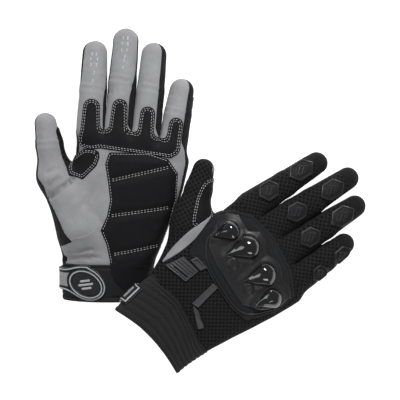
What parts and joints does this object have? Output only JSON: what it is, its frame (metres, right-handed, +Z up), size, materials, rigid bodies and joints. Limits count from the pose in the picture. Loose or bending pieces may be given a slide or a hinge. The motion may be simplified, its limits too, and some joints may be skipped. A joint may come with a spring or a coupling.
{
  "type": "riding gloves",
  "caption": "Pair of full-finger riding gloves, one palm up and one back up, with bending fingers, a hard knuckle guard and a wrist strap.",
  "frame": {"origin": "centre of the pair's bounding box, on the resting plane", "axes": "+X to the right and +Y away from the viewer who looks down on the pair, along the left glove's fingers; +Z up"},
  "size_m": [0.2995, 0.3099, 0.0527],
  "materials": {
    "suede": "mid grey synthetic suede",
    "mesh": "black air mesh",
    "stall": "grey suede on the palm side, black mesh on the back",
    "black_hide": "smooth black synthetic leather",
    "neoprene": "matt black knit faced foam",
    "hard_shell": "satin charcoal with glossy domes",
    "elastic": "ribbed black elastic knit",
    "touch_tape": "black hook and loop tape",
    "moulded_rubber": "dark grey moulded rubber",
    "badge_rubber": "black moulded rubber with light raised rings"
  },
  "bodies": {
    "left_hand": {"left_palm_panel": "suede", "left_back_panel": "mesh", "left_palm_reinforcement": "black_hide", "left_heel_pad": "black_hide", "left_knuckle_surround": "neoprene", "left_knuckle_guard": "hard_shell", "left_cuff_band": "elastic", "left_wrist_mouldings": "moulded_rubber", "left_loop_patch": "touch_tape"},
    "left_strap": {"left_strap": "suede", "left_strap_badge": "badge_rubber", "left_hook_patch": "touch_tape"},
    "left_index_proximal": {"left_index_proximal_shell": "stall", "left_index_proximal_pad": "moulded_rubber"},
    "left_index_distal": {"left_index_distal_shell": "stall", "left_index_distal_pad": "moulded_rubber"},
    "left_middle_proximal": {"left_middle_proximal_shell": "stall", "left_middle_proximal_pad": "moulded_rubber"},
    "left_middle_distal": {"left_middle_distal_shell": "stall", "left_middle_distal_pad": "moulded_rubber"},
    "left_ring_proximal": {"left_ring_proximal_shell": "stall", "left_ring_proximal_pad": "moulded_rubber"},
    "left_ring_distal": {"left_ring_distal_shell": "stall", "left_ring_distal_pad": "moulded_rubber"},
    "left_pinky_proximal": {"left_pinky_proximal_shell": "stall", "left_pinky_proximal_pad": "moulded_rubber"},
    "left_pinky_distal": {"left_pinky_distal_shell": "stall", "left_pinky_distal_pad": "moulded_rubber"},
    "left_thumb_proximal": {"left_thumb_proximal_shell": "stall"},
    "left_thumb_distal": {"left_thumb_distal_shell": "stall"},
    "right_hand": {"right_palm_panel": "suede", "right_back_panel": "mesh", "right_palm_reinforcement": "black_hide", "right_heel_pad": "black_hide", "right_knuckle_surround": "neoprene", "right_knuckle_guard": "hard_shell", "right_cuff_band": "elastic", "right_wrist_mouldings": "moulded_rubber", "right_loop_patch": "touch_tape", "right_strap": "suede", "right_strap_badge": "badge_rubber", "right_hook_patch": "touch_tape"},
    "right_index_proximal": {"right_index_proximal_shell": "stall", "right_index_proximal_pad": "moulded_rubber"},
    "right_index_distal": {"right_index_distal_shell": "stall", "right_index_distal_pad": "moulded_rubber"},
    "right_middle_proximal": {"right_middle_proximal_shell": "stall", "right_middle_proximal_pad": "moulded_rubber"},
    "right_middle_distal": {"right_middle_distal_shell": "stall", "right_middle_distal_pad": "moulded_rubber"},
    "right_ring_proximal": {"right_ring_proximal_shell": "stall", "right_ring_proximal_pad": "moulded_rubber"},
    "right_ring_distal": {"right_ring_distal_shell": "stall", "right_ring_distal_pad": "moulded_rubber"},
    "right_pinky_proximal": {"right_pinky_proximal_shell": "stall", "right_pinky_proximal_pad": "moulded_rubber"},
    "right_pinky_distal": {"right_pinky_distal_shell": "stall", "right_pinky_distal_pad": "moulded_rubber"},
    "right_thumb_proximal": {"right_thumb_proximal_shell": "stall"},
    "right_thumb_distal": {"right_thumb_distal_shell": "stall"}
  },
  "joints": [
    {"name": "right_glove_lift", "type": "slide", "parent": "left_hand", "child": "right_hand", "axis": [0, 0, 1], "range_m": [0, 0.15]},
    {"name": "left_strap_peel", "type": "hinge", "parent": "left_hand", "child": "left_strap", "pos_m": [-0.1286, -0.07006, 0.01371], "axis": [0, -0.9914, -0.1305], "range_deg": [0, 150]},
    {"name": "left_index_root", "type": "hinge", "parent": "left_hand", "child": "left_index_proximal", "pos_m": [-0.0983, 0.0613, 0.03101], "axis": [0.999, -0.0432, -0.0057], "range_deg": [0, 85]},
    {"name": "left_index_middle", "type": "hinge", "parent": "left_index_proximal", "child": "left_index_distal", "pos_m": [-0.09676, 0.09716, 0.02818], "axis": [0.999, -0.0432, -0.0057], "range_deg": [0, 85]},
    {"name": "left_middle_root", "type": "hinge", "parent": "left_hand", "child": "left_middle_proximal", "pos_m": [-0.0737, 0.06329, 0.03127], "axis": [0.9972, -0.0743, -0.0098], "range_deg": [0, 85]},
    {"name": "left_middle_middle", "type": "hinge", "parent": "left_middle_proximal", "child": "left_middle_distal", "pos_m": [-0.07062, 0.10504, 0.02796], "axis": [0.9972, -0.0743, -0.0098], "range_deg": [0, 85]},
    {"name": "left_ring_root", "type": "hinge", "parent": "left_hand", "child": "left_ring_proximal", "pos_m": [-0.0492, 0.06031, 0.03088], "axis": [0.9949, -0.1002, -0.0132], "range_deg": [0, 85]},
    {"name": "left_ring_middle", "type": "hinge", "parent": "left_ring_proximal", "child": "left_ring_distal", "pos_m": [-0.04554, 0.09701, 0.02795], "axis": [0.9949, -0.1002, -0.0132], "range_deg": [0, 85]},
    {"name": "left_pinky_root", "type": "hinge", "parent": "left_hand", "child": "left_pinky_proximal", "pos_m": [-0.0254, 0.04941, 0.02944], "axis": [0.9863, -0.1636, -0.0215], "range_deg": [0, 85]},
    {"name": "left_pinky_middle", "type": "hinge", "parent": "left_pinky_proximal", "child": "left_pinky_distal", "pos_m": [-0.02104, 0.07596, 0.02727], "axis": [0.9863, -0.1636, -0.0215], "range_deg": [0, 85]},
    {"name": "left_thumb_root", "type": "hinge", "parent": "left_hand", "child": "left_thumb_proximal", "pos_m": [-0.1322, 0.02016, 0.02559], "axis": [0.9903, 0.138, 0.0182], "range_deg": [0, 40]},
    {"name": "left_thumb_middle", "type": "hinge", "parent": "left_thumb_proximal", "child": "left_thumb_distal", "pos_m": [-0.13637, 0.04961, 0.02947], "axis": [0.9903, 0.138, 0.0182], "range_deg": [0, 60]},
    {"name": "right_index_root", "type": "hinge", "parent": "right_hand", "child": "right_index_proximal", "pos_m": [0.04478, -0.00566, 0.02733], "axis": [-0.5283, 0.8433, 0.0986], "range_deg": [0, 85]},
    {"name": "right_index_middle", "type": "hinge", "parent": "right_index_proximal", "child": "right_index_distal", "pos_m": [0.07485, 0.01367, 0.02312], "axis": [-0.5283, 0.8433, 0.0986], "range_deg": [0, 85]},
    {"name": "right_middle_root", "type": "hinge", "parent": "right_hand", "child": "right_middle_proximal", "pos_m": [0.06408, -0.02304, 0.02427], "axis": [-0.5091, 0.8552, 0.0967], "range_deg": [0, 85]},
    {"name": "right_middle_middle", "type": "hinge", "parent": "right_middle_proximal", "child": "right_middle_distal", "pos_m": [0.09966, -0.00129, 0.01926], "axis": [-0.5091, 0.8552, 0.0967], "range_deg": [0, 85]},
    {"name": "right_ring_root", "type": "hinge", "parent": "right_hand", "child": "right_ring_proximal", "pos_m": [0.07972, -0.0438, 0.02151], "axis": [-0.521, 0.848, 0.0978], "range_deg": [0, 85]},
    {"name": "right_ring_middle", "type": "hinge", "parent": "right_ring_proximal", "child": "right_ring_distal", "pos_m": [0.1108, -0.02421, 0.01716], "axis": [-0.521, 0.848, 0.0978], "range_deg": [0, 85]},
    {"name": "right_pinky_root", "type": "hinge", "parent": "right_hand", "child": "right_pinky_proximal", "pos_m": [0.08911, -0.06958, 0.01934], "axis": [-0.5786, 0.809, 0.1034], "range_deg": [0, 85]},
    {"name": "right_pinky_middle", "type": "hinge", "parent": "right_pinky_proximal", "child": "right_pinky_distal", "pos_m": [0.11076, -0.05372, 0.01634], "axis": [-0.5786, 0.809, 0.1034], "range_deg": [0, 85]},
    {"name": "right_thumb_root", "type": "hinge", "parent": "right_hand", "child": "right_thumb_proximal", "pos_m": [-0.0113, -0.01987, 0.03368], "axis": [-0.9524, 0.2764, 0.1284], "range_deg": [0, 40]},
    {"name": "right_thumb_middle", "type": "hinge", "parent": "right_thumb_proximal", "child": "right_thumb_distal", "pos_m": [-0.00292, 0.00894, 0.03379], "axis": [-0.9524, 0.2764, 0.1284], "range_deg": [0, 60]}
  ]
}
